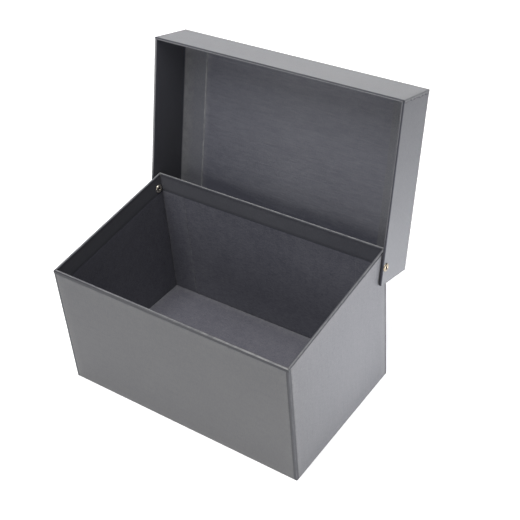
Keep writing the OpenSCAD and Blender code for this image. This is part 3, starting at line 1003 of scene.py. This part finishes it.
def rivet(name, node, side):
    """Hollow rivet turned about its axis: rolled end inside, barrel, flanged head outside."""
    low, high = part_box(node)
    inner = low.x if side > 0 else -high.x
    outer = high.x if side > 0 else -low.x
    wall_in, wall_out = band_x, lid_x
    head = outer - wall_out
    roll = wall_in - inner
    radii = [(abs(v.co.x), math.hypot(v.co.y - pivot.y, v.co.z - pivot.z))
             for v in nodes[node].data.vertices]
    head_r = max(r for x, r in radii if x > wall_out - 0.2 * MM)
    roll_r = max(r for x, r in radii if x < wall_in + 0.2 * MM)

    # The hole's wall and the barrel are painted near black, partly tarnish and partly painted shade.
    profile = [(HOLE_R, wall_in + 0.3 * MM, 1.0), (HOLE_R, wall_out - 0.3 * MM, 1.0)]
    profile += bead(head_r, wall_out + SEAT, head - SEAT)[::-1]
    profile += [(BARREL_R, wall_out + SEAT, 1.0), (BARREL_R, wall_in, 1.0)]
    profile += bead(roll_r, wall_in, -roll)
    turns = RIVET_TURNS
    verts, wear_and_highlight, crease_and_shade, tones = [], [], [], []
    for k in range(turns):
        a = 2 * math.pi * k / turns
        for radius, x, dark in profile:
            dent = 1 + 0.018 * noise.noise(Vector((math.cos(a) * 1.7, math.sin(a) * 1.7, x * 900)))
            verts.append((side * x, pivot.y + radius * dent * math.cos(a),
                          pivot.z + radius * dent * math.sin(a)))
            wear_and_highlight.append(0.0)
            crease_and_shade.append(dark)
            tones.append(ROLLED_HIGHLIGHT_TONE if x < wall_in else HEAD_SHADE_TONE)
    n = len(profile)
    faces = [(k * n + i, k * n + (i + 1) % n,
              ((k + 1) % turns) * n + (i + 1) % n, ((k + 1) % turns) * n + i)
             for k in range(turns) for i in range(n)]
    part = (verts, faces, wear_and_highlight, crease_and_shade, tones)
    piece(name, [part], "base", bright_brass, [node], smooth_angle=50)


rivet("left_hollow_rivet", "left_rivet", -1)
rivet("right_hollow_rivet", "right_rivet", 1)


# ---------------------------------------------------------------- boards that stay as CAD nodes

for node_name, obj in nodes.items():
    if obj.hide_render:
        continue
    obj.data.materials.clear()
    obj.data.materials.append(grey_board)
    weld = obj.modifiers.new("weld", "WELD")
    weld.merge_threshold = 0.00001
    bevel = obj.modifiers.new("edges", "BEVEL")
    bevel.width = 0.12 * MM
    bevel.segments = 2
    bevel.limit_method = "ANGLE"


# ---------------------------------------------------------------- stage, light and camera

FLOOR_HALF, FLOOR_Z = 40.0, -0.0002
LIGHTS = [  # name, place, aim, size, watts, colour
    ("top", (0.0, 0.0, 1.9), (0.0, 0.0, 0.1), (1.2, 1.2), 23, (1.0, 1.0, 1.0)),
    ("top_front", (0.0, -0.8, 1.8), (0.0, 0.0, 0.1), (1.2, 0.8), 17.5, (1.0, 1.0, 1.0)),
    ("front_low", (-0.2, -2.0, 0.8), (0.0, 0.0, 0.15), (1.2, 0.8), 10.5, (1.0, 1.0, 1.0)),
    ("rear_left_low", (-1.0, 1.7, 0.85), (0.0, 0.1, 0.25), (1.5, 0.8), 18, (1.0, 1.0, 1.0)),
    ("right_near", (0.37, 0.10, 0.12), (0.134, 0.09, 0.12), (0.12, 0.12), 0.21, (0.90, 0.92, 1.0)),
    ("right_near_low", (0.34, 0.06, 0.08), (0.134, 0.06, 0.1), (0.1, 0.1), 0.27, (0.90, 0.92, 1.0)),
]


def stage_floor():
    """Pale floor that glows more and more away from the box, so that its far part is white."""
    mesh = bpy.data.meshes.new("stage_floor")
    half = FLOOR_HALF
    mesh.from_pydata([(-half, -half, FLOOR_Z), (half, -half, FLOOR_Z),
                      (half, half, FLOOR_Z), (-half, half, FLOOR_Z)], [], [(0, 1, 2, 3)])
    mat, tree, shader = graph("pale_floor")
    coords = put(tree, "ShaderNodeTexCoord").outputs["Object"]
    soft = grain(tree, coords, 3, 2)
    tree.links.new(blend_color(tree, soft, (0.90, 0.90, 0.90), (0.94, 0.94, 0.94)),
                   shader.inputs["Base Color"])
    shader.inputs["Roughness"].default_value = 0.9
    shader.inputs["Specular IOR Level"].default_value = 0.1
    shader.inputs["Emission Color"].default_value = (1, 1, 1, 1)
    away = put(tree, "ShaderNodeVectorMath", links={0: coords}, operation="LENGTH")
    glow = put(tree, "ShaderNodeMapRange",
               {"From Min": 0.9, "From Max": 2.0, "To Min": 0.45, "To Max": 0.95},
               {"Value": away.outputs["Value"]})
    tree.links.new(glow.outputs[0], shader.inputs["Emission Strength"])
    mesh.materials.append(mat)
    obj = bpy.data.objects.new("stage_floor", mesh)
    bpy.context.scene.collection.objects.link(obj)


def area_light(name, location, target, size, power, color):
    data = bpy.data.lights.new(name, "AREA")
    data.shape = "RECTANGLE"
    data.size, data.size_y = size
    data.energy = power
    data.color = color
    obj = bpy.data.objects.new(name, data)
    obj.location = location
    aim = Vector(target) - Vector(location)
    obj.rotation_mode = "QUATERNION"
    obj.rotation_quaternion = aim.to_track_quat("-Z", "Y")
    obj.visible_camera = False
    bpy.context.scene.collection.objects.link(obj)


def dim_world():
    world = bpy.data.worlds.new("studio")
    bpy.context.scene.world = world
    world.use_nodes = True
    background = world.node_tree.nodes["Background"]
    background.inputs[0].default_value = (0.95, 0.96, 1.0, 1)
    background.inputs[1].default_value = 0.01


# The camera: turned by an axis times an angle in radians, which gives its right, down and
# forward directions as rows; shifts are parts of the sensor's width
SENSOR = 36
LENS = 71.539
SHIFT = (-0.04479, -0.06142)
CAMERA_TURN = Vector((2.129, 0.617, -0.397))
CAMERA_PLACE = Vector((490.33, -559.89, 695.78)) * MM


def view_camera():
    data = bpy.data.cameras.new("camera")
    data.sensor_width = SENSOR
    data.lens = LENS
    data.shift_x, data.shift_y = SHIFT
    data.clip_end = 90
    camera = bpy.data.objects.new("camera", data)
    rows = Matrix.Rotation(CAMERA_TURN.length, 3, CAMERA_TURN.normalized())
    axes = Matrix((rows[0], -rows[1], -rows[2])).transposed().to_4x4()
    camera.matrix_world = Matrix.Translation(CAMERA_PLACE) @ axes
    bpy.context.scene.collection.objects.link(camera)
    bpy.context.scene.camera = camera


stage_floor()
for light in LIGHTS:
    area_light(*light)
dim_world()
bpy.context.scene.view_settings.view_transform = "Standard"
view_camera()
